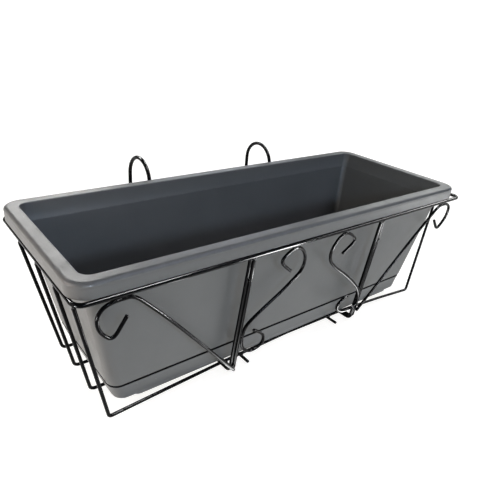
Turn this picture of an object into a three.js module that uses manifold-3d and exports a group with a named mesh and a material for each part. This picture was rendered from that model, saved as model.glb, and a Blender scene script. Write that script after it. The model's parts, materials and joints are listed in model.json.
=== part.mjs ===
// Balcony trough planter: a tapered plastic trough with a clip-on drip saucer, standing in a welded
// wire basket that hangs on two railing hooks.
// Units are millimetres, +Z up, +X along the planter, -Y is the decorated front, +Y the railing side.
// The origin is under the middle of the whole object, on the plane it stands on.
import * as THREE from 'three';
import { mergeVertices } from 'three/addons/utils/BufferGeometryUtils.js';
import Module from 'manifold-3d';

// ---------------------------------------------------------------- driving dimensions
// Everything below is laid out from the middle of the trough's rim top and shifted once, at the end.
const RIM_LENGTH = 500;          // over the rolled rim
const RIM_WIDTH = 190;
const LIP_DEPTH = 14;            // how far the rim's lip hangs down
const RIM_CORNER = 19;           // corner radius of the rim in plan
const WALL = 2.2;                // moulded wall
const SEAM_Z = -128.4;           // lower edge of the trough's visible body
const TROUGH_FLOOR = -141.5;     // underside of the trough's floor
const FOOT_BOTTOM = -148.0;      // six short feet stand in the saucer
const FOOT_DIAMETER = 14;
const DRAIN_DIAMETER = 8;
const SAUCER_TOP = -129.4;
const SAUCER_BOTTOM = -147.3;
const PLINTH_BOTTOM = -150.3;    // the saucer's lower middle part
const PLINTH_HALF = [190.5, 64.6];
const PLINTH_CORNER = 9;

const RING_WIRE = 4.2;           // diameters of the wires
const HOOK_WIRE = 4.6;
const THIN_WIRE = 3.4;
const TOUCH = 0.3;               // space left where two welded wires meet
const FRAME_X = 6.5;             // the basket's middle, measured from the trough's middle
const RING_Z = -LIP_DEPTH - TOUCH - RING_WIRE / 2;
const RING_HALF_X = 254.5;
const RING_HALF_Y = 94.2;
const RING_CORNER = 9;
const BASKET_Z = PLINTH_BOTTOM - TOUCH - THIN_WIRE / 2;
const HOOK_Z = BASKET_Z - THIN_WIRE / 2 - TOUCH - HOOK_WIRE / 2;
const CRADLE_Z = BASKET_Z - THIN_WIRE - TOUCH;
const HOOK_SPACING = 92;         // half the distance between the two hook wires
const CRADLE_SPACING = HOOK_SPACING + (HOOK_WIRE + THIN_WIRE) / 2 + TOUCH;
const BAR_SPACING = 69;
const FRONT_FOOT_Y = -77.5;      // where the front legs turn in under the saucer
const HOOK_BACK_Y = RING_HALF_Y + (RING_WIRE + HOOK_WIRE) / 2 + TOUCH;
const HOOK_RADIUS = 24.5;        // railing hook, to the wire's middle
const HOOK_CENTRE_Z = -7.5;
const HOOK_TIP_Z = -52;
const LEG_TOP = RING_Z - RING_WIRE / 2 - TOUCH;   // wires under the ring end here

// ---------------------------------------------------------------- materials
const plastic = (color, roughness) => new THREE.MeshStandardMaterial({ color, roughness, metalness: 0 });
const lacquer = () => new THREE.MeshStandardMaterial({ color: 0x0e0f10, roughness: 0.22, metalness: 0.1 });

// ---------------------------------------------------------------- solids
const wasm = await Module();
wasm.setup();

function toSolid(geometry) {
  const g = geometry.clone();
  g.deleteAttribute('normal');
  if (g.attributes.uv) g.deleteAttribute('uv');
  const m = mergeVertices(g, 1e-4);
  return new wasm.Manifold(new wasm.Mesh({
    numProp: 3,
    vertProperties: new Float32Array(m.attributes.position.array),
    triVerts: new Uint32Array(m.index.array),
  }));
}

function fromSolid(solid) {
  const m = solid.getMesh();
  const g = new THREE.BufferGeometry();
  g.setAttribute('position', new THREE.BufferAttribute(new Float32Array(m.vertProperties), 3));
  g.setIndex(new THREE.BufferAttribute(new Uint32Array(m.triVerts), 1));
  g.computeVertexNormals();
  return g;
}

function upright(diameter, z0, z1, x, y, sides = 16) {
  const g = new THREE.CylinderGeometry(diameter / 2, diameter / 2, z1 - z0, sides);
  g.rotateX(Math.PI / 2);
  g.translate(x, y, (z0 + z1) / 2);
  return g;
}

// A stack of rounded rectangles, each [z, half length, half width, corner radius], skinned into one
// closed body. The stack may turn back down on itself, which makes a tray.
function stack(levels, cornerSteps = 7) {
  const points = [];
  for (let k = 0; k < 4; k++) {
    const cx = (k === 0 || k === 3) ? 1 : -1;
    const cy = k < 2 ? 1 : -1;
    for (let i = 0; i <= cornerSteps; i++) {
      const t = (k + i / cornerSteps) * Math.PI / 2;
      points.push(new THREE.Vector2(cx + Math.cos(t), cy + Math.sin(t)));
    }
  }
  const g = new THREE.ExtrudeGeometry(new THREE.Shape(points), {
    steps: levels.length - 1, depth: levels.length - 1, bevelEnabled: false,
  });
  const p = g.attributes.position;
  for (let i = 0; i < p.count; i++) {
    const [z, a, b, r] = levels[Math.round(p.getZ(i))];
    const sx = Math.sign(p.getX(i)), sy = Math.sign(p.getY(i));
    const ux = p.getX(i) - sx, uy = p.getY(i) - sy;
    p.setXYZ(i, sx * (a - r) + ux * r, sy * (b - r) + uy * r, z);
  }
  return g;
}

// ---------------------------------------------------------------- bent wires
// The middle line of a wire: straight runs joined by round bends, kept as the exact list of stations.
class WirePath extends THREE.Curve {
  constructor(stations, flat) {
    super();
    this.stations = stations;
    this.flat = flat;            // a direction that one flat of the section faces
  }
  get last() { return this.stations.length - 1; }
  getPoint(u, target = new THREE.Vector3()) { return target.copy(this.stations[Math.round(u * this.last)]); }
  getPointAt(u, target) { return this.getPoint(u, target); }
  getSpacedPoints() { return this.stations.map((s) => s.clone()); }
  getTangentAt(u, target = new THREE.Vector3()) {
    const i = Math.round(u * this.last), s = this.stations;
    const a = s[Math.max(i - 1, 0)], b = s[i], c = s[Math.min(i + 1, this.last)];
    const t = new THREE.Vector3();
    if (b.distanceTo(a) > 0) t.add(b.clone().sub(a).normalize());
    if (c.distanceTo(b) > 0) t.add(c.clone().sub(b).normalize());
    return target.copy(t.normalize());
  }
  getTangent(u, target) { return this.getTangentAt(u, target); }
  computeFrenetFrames(segments) {
    const tangents = [], normals = [], binormals = [];
    for (let i = 0; i <= segments; i++) {
      const t = this.getTangentAt(i / segments);
      const n = this.flat.clone().addScaledVector(t, -this.flat.dot(t)).normalize();
      tangents.push(t);
      normals.push(n);
      binormals.push(new THREE.Vector3().crossVectors(t, n));
    }
    return { tangents, normals, binormals };
  }
}

const V = (x, y, z) => new THREE.Vector3(x, y, z);

// Round the inner corners of a polyline; each bend turns in steps of at most stepDeg.
function bent(corners, radii, stepDeg = 17) {
  const out = [corners[0].clone()];
  for (let i = 1; i < corners.length - 1; i++) {
    const p = corners[i];
    const d1 = corners[i - 1].clone().sub(p).normalize();
    const d2 = corners[i + 1].clone().sub(p).normalize();
    const turn = Math.PI - d1.angleTo(d2);
    const radius = radii[i - 1];
    if (!radius) { out.push(p.clone()); continue; }
    const cut = radius * Math.tan(turn / 2);
    const centre = p.clone().add(d1.clone().add(d2).normalize().multiplyScalar(radius / Math.cos(turn / 2)));
    const from = p.clone().addScaledVector(d1, cut).sub(centre);
    const axis = new THREE.Vector3().crossVectors(from, p.clone().addScaledVector(d2, cut).sub(centre)).normalize();
    const n = Math.max(1, Math.ceil(THREE.MathUtils.radToDeg(turn) / stepDeg));
    for (let k = 0; k <= n; k++) out.push(from.clone().applyAxisAngle(axis, turn * k / n).add(centre));
  }
  out.push(corners[corners.length - 1].clone());
  return out;
}

// Eight-sided section, its flats at the wire's radius.
function section(diameter) {
  const r = diameter / 2 / Math.cos(Math.PI / 8);
  const points = [];
  for (let i = 0; i < 8; i++) {
    const t = (i + 0.5) * Math.PI / 4;
    points.push(new THREE.Vector2(r * Math.cos(t), r * Math.sin(t)));
  }
  return new THREE.Shape(points);
}

function wire(stations, diameter, flat) {
  return new THREE.ExtrudeGeometry(section(diameter), {
    steps: stations.length - 1, extrudePath: new WirePath(stations, flat), bevelEnabled: false,
  });
}

const tilt = (diameter, rise, run) => (diameter / 2 / Math.cos(Math.PI / 8)) * Math.sin(Math.atan2(run, rise));

// ---------------------------------------------------------------- assembly
const planter = new THREE.Group();
planter.name = 'planter';
const inner = new THREE.Group();
planter.add(inner);

function add(name, geometry, material) {
  const mesh = new THREE.Mesh(geometry, material);
  mesh.name = name;
  inner.add(mesh);
  return mesh;
}

// ---- trough: outer skin upwards, over the rolled rim, then the inner skin down to the floor
const HX = RIM_LENGTH / 2, HY = RIM_WIDTH / 2;
const inset = (z, ix, iy, r) => [z, HX - ix, HY - iy, r];
const outerX = (z) => 11.2 - 0.2016 * z;      // body taper, as an inset from the rim's outer edge
const outerY = (z) => 11.2 - 0.1266 * z;
const bodyR = (z) => 9 - 2 * z / 128.4;

const troughLevels = [
  inset(TROUGH_FLOOR, 45.9, 34.8, 6.0),
  inset(TROUGH_FLOOR + 0.7, 44.6, 33.6, 7.1),
  inset(TROUGH_FLOOR + 2.2, 43.9, 32.8, 7.5),
  inset(SEAM_Z - 0.6, 40.6, 31.0, 7.9),
  inset(SEAM_Z, outerX(SEAM_Z) + 0.5, outerY(SEAM_Z) + 0.5, bodyR(SEAM_Z) - 0.5),
  inset(SEAM_Z + 0.7, outerX(SEAM_Z + 0.7), outerY(SEAM_Z + 0.7), bodyR(SEAM_Z + 0.7)),
  inset(-3.2, outerX(-3.2), outerY(-3.2), 9),
  inset(-2.4, 10.6, 10.6, 9.5),
  inset(-2.4, 4.6, 4.6, 14.6),
  inset(-4.6, WALL, WALL, 16.8),
  inset(-LIP_DEPTH + 0.3, WALL, WALL, 16.8),
  inset(-LIP_DEPTH, WALL - 0.4, WALL - 0.4, 17.2),
  inset(-LIP_DEPTH, 0.6, 0.6, RIM_CORNER - 0.6),
  inset(-LIP_DEPTH + 0.6, 0, 0, RIM_CORNER),
  inset(-4.2, 0.25, 0.25, RIM_CORNER - 0.25),
  inset(-2.2, 0.8, 0.8, RIM_CORNER - 0.8),
  inset(-0.75, 2.2, 2.2, RIM_CORNER - 2.2),
  inset(0, 4.4, 4.4, RIM_CORNER - 4.4),
  inset(0, 12.0, 12.0, 11.5),
  inset(-0.45, 13.1, 13.1, 10.4),
  inset(-1.5, 13.5, 13.5, 10),
  inset(-17.2, outerX(-17.2) + WALL, outerY(-17.2) + WALL, 9.8),
  inset(-17.9, outerX(-17.9) + WALL + 1.2, outerY(-17.9) + WALL + 1.2, 9.4),
  inset(-125.6, outerX(-125.6) + 3.2, outerY(-125.6) + 3.1, 9),
  inset(-126.6, 43.1, 33.5, 6),
  inset(-134.3, 45.6, 34.9, 5.5),
  inset(-137.4, 47.0, 36.3, 4.2),
  inset(-139.3, 50.2, 39.5, 1.0),
];
let troughSolid = toSolid(stack(troughLevels));
for (const [x, y] of [[-150, -40], [-150, 40], [0, -40], [0, 40], [150, -40], [150, 40]]) {
  troughSolid = troughSolid.add(toSolid(upright(FOOT_DIAMETER, FOOT_BOTTOM, TROUGH_FLOOR + 1, x, y, 12)));
}
for (const [x, y] of [[-180, 0], [-105, 26], [-105, -26], [-38, 0], [38, 0], [105, 26], [105, -26], [180, 0]]) {
  troughSolid = troughSolid.subtract(toSolid(upright(DRAIN_DIAMETER, TROUGH_FLOOR - 2, TROUGH_FLOOR + 6, x, y, 12)));
}
add('trough', fromSolid(troughSolid), plastic(0x76787b, 0.42));

// ---- saucer: a low tray with a slightly sunk middle that rests on the wires
const [PX, PY] = PLINTH_HALF;
const saucerLevels = [
  [PLINTH_BOTTOM, PX - 1.1, PY - 1.1, PLINTH_CORNER - 1.1],
  [PLINTH_BOTTOM + 1.1, PX, PY, PLINTH_CORNER],
  [SAUCER_BOTTOM - 0.4, PX + 0.2, PY + 0.1, PLINTH_CORNER],
  inset(SAUCER_BOTTOM, 45.4, 30.25, 7),
  inset(SAUCER_BOTTOM + 0.8, 43.2, 30.2, 8.5),
  inset(SAUCER_BOTTOM + 2.6, 42.1, 30.1, 9.4),
  inset(SAUCER_TOP - 0.5, 37.6, 28.0, 11.4),
  inset(SAUCER_TOP, 38.1, 28.5, 10.9),
  inset(SAUCER_TOP, 39.0, 29.4, 10.2),
  inset(SAUCER_TOP - 0.5, 39.5, 29.9, 9.8),
  inset(-143.6, 43.8, 32.3, 7.4),
  inset(-144.9, 44.7, 33.0, 6.6),
  inset(-145.3, 46.0, 33.7, 5.6),
  [-145.7, PX - 1.9, PY - 3.5, PLINTH_CORNER - 3],
  [-147.8, PX - 2.1, PY - 3.7, PLINTH_CORNER - 3.2],
  [-148.3, PX - 2.7, PY - 4.3, PLINTH_CORNER - 3.8],
];
add('saucer', stack(saucerLevels), plastic(0x717376, 0.45));

// ---- top ring: closed rounded-rectangle wire under the trough's lip
{
  const flatHalf = (RING_WIRE / 2) * Math.tan(Math.PI / 8);
  const outline = (grow) => {
    const a = RING_HALF_X + grow, b = RING_HALF_Y + grow, r = RING_CORNER + grow, pts = [];
    for (let k = 0; k < 4; k++) {
      const cx = ((k === 0 || k === 3) ? 1 : -1) * (a - r), cy = (k < 2 ? 1 : -1) * (b - r);
      for (let i = 0; i <= 6; i++) {
        const t = (k + i / 6) * Math.PI / 2;
        pts.push(new THREE.Vector2(cx + r * Math.cos(t), cy + r * Math.sin(t)));
      }
    }
    return pts;
  };
  const shape = new THREE.Shape(outline(flatHalf));
  shape.holes.push(new THREE.Path(outline(-flatHalf).reverse()));
  const g = new THREE.ExtrudeGeometry(shape, {
    depth: 2 * flatHalf, steps: 1, bevelEnabled: true, bevelSegments: 1,
    bevelThickness: RING_WIRE / 2 - flatHalf, bevelSize: RING_WIRE / 2 - flatHalf,
  });
  g.translate(FRAME_X, 0, RING_Z - flatHalf);
  add('top_ring', g, lacquer());
}

// ---- four long basket wires: down the left end, under the saucer, up the right end
const UP = V(0, 0, 1), SIDE = V(1, 0, 0), DEEP = V(0, 1, 0);
const BASKET = {
  basket_wire_rear: { left: [-248.5, 38.5], foot: [[-218, 43.3], [221, 43]], right: [260.5, 44.5] },
  basket_wire_mid_rear: { left: [-248.5, -9], foot: [[-218, 9.2], [221, 9]], right: [260.5, -3] },
  basket_wire_mid_front: { left: [-248.5, -53], foot: [[-218, -31.5], [221, -31.5]], right: [260.5, -47] },
  basket_wire_front: {
    left: [-247.2, -89.3],
    foot: [[-218, -73], [-154, -69.3], [-88, -65.8], [5, -62.8], [100, -64.5], [166, -70], [218.5, -76]],
    right: [260.5, -64],
  },
};
for (const [name, w] of Object.entries(BASKET)) {
  const drop = 0.75;                        // the slanting ends stay clear under the ring
  const corners = [V(...w.left, LEG_TOP - drop)];
  w.foot.forEach(([x, y]) => corners.push(V(x, y, BASKET_Z)));
  corners.push(V(...w.right, LEG_TOP - drop));
  const bend = name === 'basket_wire_front' ? 4 : 6;
  const radii = w.foot.map((_, i) => (i === 0 || i === w.foot.length - 1) ? bend : 0);
  add(name, wire(bent(corners, radii), THIN_WIRE, DEEP), lacquer());
}

// ---- hook wires, cradle wires and cross bars. The pairs run very slightly askew in plan.
const lean = (y) => 1 - 0.0104 * y;
for (const side of [-1, 1]) {
  const tag = side < 0 ? 'left' : 'right';
  const at = (x, y, z) => V(FRAME_X + side * x + lean(y), y, z);

  const c = HOOK_SPACING;
  const lead = bent([
    at(c, -RING_HALF_Y, LEG_TOP - tilt(HOOK_WIRE, 140, 17)),
    at(c, FRONT_FOOT_Y, HOOK_Z),
    at(c, HOOK_BACK_Y, HOOK_Z),
    at(c, HOOK_BACK_Y, HOOK_CENTRE_Z),
  ], [6, 8]);
  const stations = [...lead];
  for (let i = 1; i <= 12; i++) {
    const t = Math.PI * (1 - i / 12);
    stations.push(at(c, HOOK_BACK_Y + HOOK_RADIUS + HOOK_RADIUS * Math.cos(t), HOOK_CENTRE_Z + HOOK_RADIUS * Math.sin(t)));
  }
  stations.push(at(c, HOOK_BACK_Y + 2 * HOOK_RADIUS, HOOK_TIP_Z));
  add(`hook_wire_${tag}`, wire(stations, HOOK_WIRE, SIDE), lacquer());

  const k = CRADLE_SPACING;
  add(`cradle_wire_${tag}`, wire(bent([
    at(k, -RING_HALF_Y, LEG_TOP - tilt(THIN_WIRE, 140, 17)),
    at(k, FRONT_FOOT_Y, CRADLE_Z),
    at(k, RING_HALF_Y, CRADLE_Z),
    at(k, RING_HALF_Y, LEG_TOP),
  ], [6, 6]), THIN_WIRE, SIDE), lacquer());

  const b = FRAME_X + side * BAR_SPACING;
  add(`cross_bar_${tag}`, wire([V(b, -77, CRADLE_Z), V(b, 61, CRADLE_Z)], THIN_WIRE, SIDE), lacquer());
}

// ---- ornament wires, drawn in the tilted plane of the front legs as [across, down, forward]
const DOWN_Y = 0.11828, DOWN_Z = 0.99298;
const FORWARD = V(0, -DOWN_Z, -DOWN_Y);
function ornament(name, side, points, steps) {
  const curve = new THREE.CatmullRomCurve3(points.map(([a, s, w = 0]) => V(
    FRAME_X + side * a,
    -RING_HALF_Y + DOWN_Y * s - DOWN_Z * w,
    RING_Z - DOWN_Z * s - DOWN_Y * w,
  )), false, 'centripetal');
  curve.arcLengthDivisions = 800;
  // stations close together in the curls and far apart on the straight runs
  const fine = curve.getSpacedPoints(700);
  const bendAt = fine.map((p, i) => {
    if (i < 3 || i > 696) return 0;
    const t1 = p.clone().sub(fine[i - 3]), t2 = fine[i + 3].clone().sub(p);
    return t1.angleTo(t2);
  });
  const weight = bendAt.map((b) => b + 0.006);
  const total = weight.reduce((a, b) => a + b, 0);
  const stations = [fine[0]];
  let sum = 0, next = 1;
  for (let i = 0; i < fine.length - 1; i++) {
    sum += weight[i];
    if (sum >= total * next / steps && next < steps) { stations.push(fine[i + 1]); next++; }
  }
  stations.push(fine[fine.length - 1]);
  add(name, wire(stations, THIN_WIRE, FORWARD), lacquer());
}

ornament('outer_crook_left', -1, [
  [213.4, 21.3, 0.7], [218.2, 29.6, 0.9], [222.6, 36.6, 1.1], [225.4, 38.9, 1.2], [228.6, 38.2, 1.2],
  [232.6, 34.2, 1.1], [236.4, 28, 0.9], [238.2, 21, 0.6], [237.6, 14.2, 0.4], [234.2, 8.8, 0.2],
  [228.8, 5.7, 0.1], [223, 4.6, 0], [217, 4.35, 0], [210.5, 4.6, 0.1], [205, 7.6, 0.3], [198.5, 13.9, 0.6],
  [173.8, 40.8, 1.6], [133.8, 87.5, 3.3], [103, 124.3, 4.4], [92.5, 136.6, 4.4],
], 40);
ornament('outer_crook_right', 1, [
  [211, 25.0, 0.7], [217.5, 32.6, 0.9], [222.3, 37.6, 1.1], [225.6, 38.4, 1.2], [229, 35.8, 1.1],
  [233, 31, 1.0], [236.6, 24.6, 0.8], [237.8, 17.8, 0.5], [236.4, 11.5, 0.3], [232.2, 7, 0.1],
  [226.5, 4.9, 0], [220, 4.35, 0], [213, 4.8, 0.1], [206.5, 8.2, 0.3], [197.3, 16.9, 0.7],
  [165.7, 49, 2.0], [137.7, 79.6, 3.2], [116.7, 103, 4.3], [105.5, 115.6, 4.4], [95.5, 127.5, 4.4],
], 40);
ornament('inner_scroll_left', -1, [
  [36.5, 31.4], [42.5, 26.6], [47.6, 22], [50.8, 18], [50.9, 13.9], [47.8, 10.2], [42.8, 6.8], [37.4, 4.5],
  [32.2, 5.1], [26.6, 8.7], [22.2, 14.4], [19.6, 21], [19.2, 28.5], [21.6, 35.6], [26.6, 41.2], [33, 46.6],
  [41.5, 53.6], [53, 61.6], [66, 70.6], [78, 79.6], [83.4, 85.8], [85.2, 92.8], [85.4, 100], [84.2, 108.6],
  [81.2, 115.4], [76.4, 120.4], [70, 123.2], [63.4, 123], [57.6, 120.4], [54.6, 115.4], [55.4, 109.4],
  [59.6, 103.4], [65.6, 98.6], [71.5, 94.6],
].map(([a, s]) => [a, s, 0]), 54);
ornament('inner_scroll_right', 1, [
  [39.6, 31.2], [46, 26.6], [52, 22], [55, 18.4], [53.8, 15], [50.2, 11.6], [45.6, 8.1], [40.2, 5.4],
  [34.6, 4.7], [29, 7.2], [24.4, 12], [21.2, 18], [20, 24], [20.6, 30.4], [23.4, 36.6], [28.6, 42.4],
  [36, 48.8], [51, 59.8], [68.6, 74.4], [79.6, 85], [85.4, 92.6], [89.4, 100.3], [91, 107.6], [89.4, 113.2],
  [84, 116.8], [76.5, 118], [68.4, 117.3], [60.3, 114.6], [54.4, 109.9], [52.9, 105.2], [55.7, 100.5],
  [61.7, 96.6], [67.4, 94.4],
].map(([a, s]) => [a, s, Math.min(4.4, Math.max(0, (s - 36) / 48 * 4.4))]), 54);

// ---- stand the whole object on its origin
const box = new THREE.Box3().setFromObject(inner, true);
inner.position.set(-(box.min.x + box.max.x) / 2, -(box.min.y + box.max.y) / 2, -box.min.z);
planter.updateMatrixWorld(true);

export default planter;
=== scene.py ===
"""Looks of the balcony trough planter: moulded grey trough and saucer in a gloss black scrolled wire basket.

Shapes are laid out in millimetres from the middle of the trough's rim top, as the CAD part is, and moved
to the row frame in metres when a mesh is made.
"""
import json
import math

import bpy
import numpy as np
from mathutils import Matrix, Vector, noise

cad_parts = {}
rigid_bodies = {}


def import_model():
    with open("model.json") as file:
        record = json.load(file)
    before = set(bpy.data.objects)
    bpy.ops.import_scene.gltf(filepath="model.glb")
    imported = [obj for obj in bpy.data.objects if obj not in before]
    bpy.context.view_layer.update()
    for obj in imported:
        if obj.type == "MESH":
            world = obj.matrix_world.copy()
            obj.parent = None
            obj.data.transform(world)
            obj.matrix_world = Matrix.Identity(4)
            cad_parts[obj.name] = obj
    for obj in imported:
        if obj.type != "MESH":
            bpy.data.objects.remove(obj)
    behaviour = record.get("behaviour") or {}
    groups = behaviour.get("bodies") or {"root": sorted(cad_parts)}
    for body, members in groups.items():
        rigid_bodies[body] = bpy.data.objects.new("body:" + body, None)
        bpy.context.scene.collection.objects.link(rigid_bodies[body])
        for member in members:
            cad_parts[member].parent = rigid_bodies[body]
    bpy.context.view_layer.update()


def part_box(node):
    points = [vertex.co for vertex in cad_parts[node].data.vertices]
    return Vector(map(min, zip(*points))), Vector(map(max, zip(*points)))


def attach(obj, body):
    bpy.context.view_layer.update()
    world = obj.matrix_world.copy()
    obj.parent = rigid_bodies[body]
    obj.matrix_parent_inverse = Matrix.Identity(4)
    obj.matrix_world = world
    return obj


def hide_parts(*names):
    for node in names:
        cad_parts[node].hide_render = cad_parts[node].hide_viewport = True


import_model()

low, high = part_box("trough")
SHIFT = np.array([(low.x + high.x) * 500.0, (low.y + high.y) * 500.0, high.z * 1000.0])


def row(p):
    """Millimetres from the middle of the rim top to metres in the row frame."""
    return (np.asarray(p, float) + SHIFT) / 1000.0


# ------------------------------------------------------------------ driving dimensions, millimetres
RIM_HALF = (250.0, 95.0)
LIP_DEPTH = 14.0
RIM_CORNER = 19.0
WALL = 2.2
SEAM_Z = -128.4
TROUGH_FLOOR = -141.5
FOOT_BOTTOM = -148.0
SAUCER_TOP = -129.4
SAUCER_BOTTOM = -147.3
PLINTH_BOTTOM = -150.3
PLINTH_HALF = (190.5, 64.6)
PLINTH_CORNER = 9.0

RING_WIRE = 4.2
HOOK_WIRE = 4.6
THIN_WIRE = 3.4
TOUCH = 0.3
FRAME_X = 6.5
RING_Z = -LIP_DEPTH - TOUCH - RING_WIRE / 2
RING_HALF = (254.5, 94.2)
RING_CORNER = 9.0
BASKET_Z = PLINTH_BOTTOM - TOUCH - THIN_WIRE / 2
HOOK_Z = BASKET_Z - THIN_WIRE / 2 - TOUCH - HOOK_WIRE / 2
CRADLE_Z = BASKET_Z - THIN_WIRE - TOUCH
HOOK_SPACING = 92.0
CRADLE_SPACING = HOOK_SPACING + (HOOK_WIRE + THIN_WIRE) / 2 + TOUCH
BAR_SPACING = 69.0
FRONT_FOOT_Y = -77.5
HOOK_BACK_Y = RING_HALF[1] + (RING_WIRE + HOOK_WIRE) / 2 + TOUCH
HOOK_RADIUS = 24.5
HOOK_CENTRE_Z = -7.5
HOOK_TIP_Z = -52.0
LEG_TOP = RING_Z - RING_WIRE / 2 - TOUCH
DOWN = np.array([0.0, 0.11828, -0.99298])       # down the front legs' plane
OUT = np.array([0.0, -0.99298, -0.11828])       # out of that plane, towards the viewer of the front


# ------------------------------------------------------------------ mesh helpers
def new_object(name, verts, faces, smooth_deg=32.0):
    mesh = bpy.data.meshes.new(name)
    mesh.from_pydata([tuple(v) for v in verts], [], faces)
    mesh.validate()
    mesh.update()
    mesh.polygons.foreach_set("use_smooth", [True] * len(mesh.polygons))
    mesh.set_sharp_from_angle(angle=math.radians(smooth_deg))
    obj = bpy.data.objects.new(name, mesh)
    bpy.context.scene.collection.objects.link(obj)
    return obj


def attribute(obj, name, values):
    a = obj.data.attributes.get(name) or obj.data.attributes.new(name, "FLOAT", "POINT")
    a.data.foreach_set("value", np.asarray(values, np.float32))


def unit(v):
    v = np.asarray(v, float)
    return v / np.linalg.norm(v)


def bent(corners, radii, step=5.0):
    """Round the inner corners of a polyline with bends of the given radii."""
    corners = [np.asarray(c, float) for c in corners]
    out = [corners[0]]
    for i in range(1, len(corners) - 1):
        p, radius = corners[i], radii[i - 1]
        d1, d2 = unit(corners[i - 1] - p), unit(corners[i + 1] - p)
        turn = math.pi - math.acos(max(-1.0, min(1.0, float(d1 @ d2))))
        if not radius:
            radius = 14.0                       # the long wires bow gently from bar to bar
        cut = radius * math.tan(turn / 2)
        centre = p + unit(d1 + d2) * radius / math.cos(turn / 2)
        a, b = p + d1 * cut - centre, p + d2 * cut - centre
        axis = unit(np.cross(a, b))
        n = max(2, math.ceil(math.degrees(turn) / step))
        for k in range(n + 1):
            r = Matrix.Rotation(turn * k / n, 3, Vector(axis))
            out.append(np.array(r @ Vector(a)) + centre)
    out.append(corners[-1])
    return out


def catmull(points, count):
    """Centripetal curve through the points, sampled evenly along its length."""
    pts = [np.asarray(p, float) for p in points]
    dense = []
    for i in range(len(pts) - 1):
        p1, p2 = pts[i], pts[i + 1]
        p0 = pts[i - 1] if i > 0 else 2 * pts[0] - pts[1]
        p3 = pts[i + 2] if i + 2 < len(pts) else 2 * pts[-1] - pts[-2]
        d0, d1, d2 = (math.sqrt(np.linalg.norm(b - a)) for a, b in ((p0, p1), (p1, p2), (p2, p3)))
        t1 = ((p1 - p0) / d0 - (p2 - p0) / (d0 + d1) + (p2 - p1) / d1) * d1
        t2 = ((p2 - p1) / d1 - (p3 - p1) / (d1 + d2) + (p3 - p2) / d2) * d1
        for k in range(24):
            t = k / 24
            dense.append(p1 + t1 * t + (-3 * p1 + 3 * p2 - 2 * t1 - t2) * t * t
                         + (2 * p1 - 2 * p2 + t1 + t2) * t ** 3)
    dense.append(pts[-1])
    dense = np.array(dense)
    s = np.concatenate([[0], np.cumsum(np.linalg.norm(np.diff(dense, axis=0), axis=1))])
    at = np.linspace(0, s[-1], count)
    return [np.array([np.interp(a, s, dense[:, k]) for k in range(3)]) for a in at]


def spread(path, longest=9.0):
    """Add stations on long straight runs, so that the lacquer's small unevenness has somewhere to sit."""
    out = [path[0]]
    for a, b in zip(path[:-1], path[1:]):
        n = max(1, math.ceil(np.linalg.norm(b - a) / longest))
        out += [a + (b - a) * k / n for k in range(1, n + 1)]
    return out


def tube(name, path, diameter, flat, closed=False, sides=24, edge=0.55, seed=0):
    """A round wire of that diameter along the path, with slightly rounded cut ends."""
    r = diameter / 2
    path = spread([np.asarray(p, float) for p in path])
    n = len(path)
    if not closed:
        first, last = unit(path[1] - path[0]), unit(path[-2] - path[-1])
        ends = (path[0].copy(), path[-1].copy())
        path[0], path[-1] = path[0] + first * edge, path[-1] + last * edge
    rings, centres, wear = [], [], []

    def ring(centre, t, radius, w=0.0):
        nrm = unit(flat - (flat @ t) * t)
        bi = np.cross(t, nrm)
        a = np.arange(sides) * 2 * math.pi / sides
        rings.append(centre + radius * (np.cos(a)[:, None] * nrm + np.sin(a)[:, None] * bi))
        wear.extend([w] * sides)

    tangents = []
    for i in range(n):
        if closed:
            t = unit(path[i] - path[i - 1]) + unit(path[(i + 1) % n] - path[i])
        elif i == 0:
            t = path[1] - path[0]
        elif i == n - 1:
            t = path[-1] - path[-2]
        else:
            t = unit(path[i] - path[i - 1]) + unit(path[i + 1] - path[i])
        tangents.append(unit(t))
    steps = 4
    if not closed:
        for k in range(steps):
            th = math.pi / 2 * (1 - k / steps)
            ring(ends[0] + tangents[0] * edge * (1 - math.sin(th)), tangents[0], r - edge + edge * math.cos(th), 1.0)
    for i in range(n):
        # the lacquer is a few hundredths thinner here and there, never thicker than the wire
        thin = 0.012 * r * (1 + noise.noise(Vector(path[i] / 11.0) + Vector((seed, 0, 0))))
        ring(path[i], tangents[i], r - thin)
    if not closed:
        for k in range(1, steps + 1):
            th = math.pi / 2 * k / steps
            ring(ends[1] - tangents[-1] * edge * (1 - math.sin(th)), tangents[-1], r - edge + edge * math.cos(th), 1.0)
    verts = np.concatenate(rings)
    m = len(rings)
    faces = []
    for i in range(m if closed else m - 1):
        j = (i + 1) % m
        for k in range(sides):
            l = (k + 1) % sides
            faces.append((i * sides + k, i * sides + l, j * sides + l, j * sides + k))
    if not closed:
        verts = np.concatenate([verts, [ends[0], ends[1]]])
        wear += [1.0, 1.0]
        a, b = len(verts) - 2, len(verts) - 1
        for k in range(sides):
            l = (k + 1) % sides
            faces.append((a, l, k))
            faces.append((b, (m - 1) * sides + k, (m - 1) * sides + l))
    obj = new_object(name, row(verts), faces, 50)
    attribute(obj, "wear", wear)
    return obj


def soften(levels, steps=5):
    """Round the marked levels of a profile: each level is (z, half x, half y, corner radius, rounding)."""
    out, edge = [], []
    for i, lv in enumerate(levels):
        p = np.array(lv[:4], float)
        d = lv[4] if len(lv) > 4 else 0
        if not d or i == 0 or i == len(levels) - 1:
            out.append(p)
            edge.append(0.0)
            continue
        q, s = np.array(levels[i - 1][:4], float), np.array(levels[i + 1][:4], float)
        lq, ls = np.linalg.norm((q - p)[:3]), np.linalg.norm((s - p)[:3])
        a, b = p + (q - p) * min(d / lq, 0.48), p + (s - p) * min(d / ls, 0.48)
        for k in range(steps + 1):
            t = k / steps
            out.append((1 - t) ** 2 * a + 2 * t * (1 - t) * p + t * t * b)
            edge.append(math.sin(math.pi * t) if d < 3 else 0.0)
    return out, edge


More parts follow.
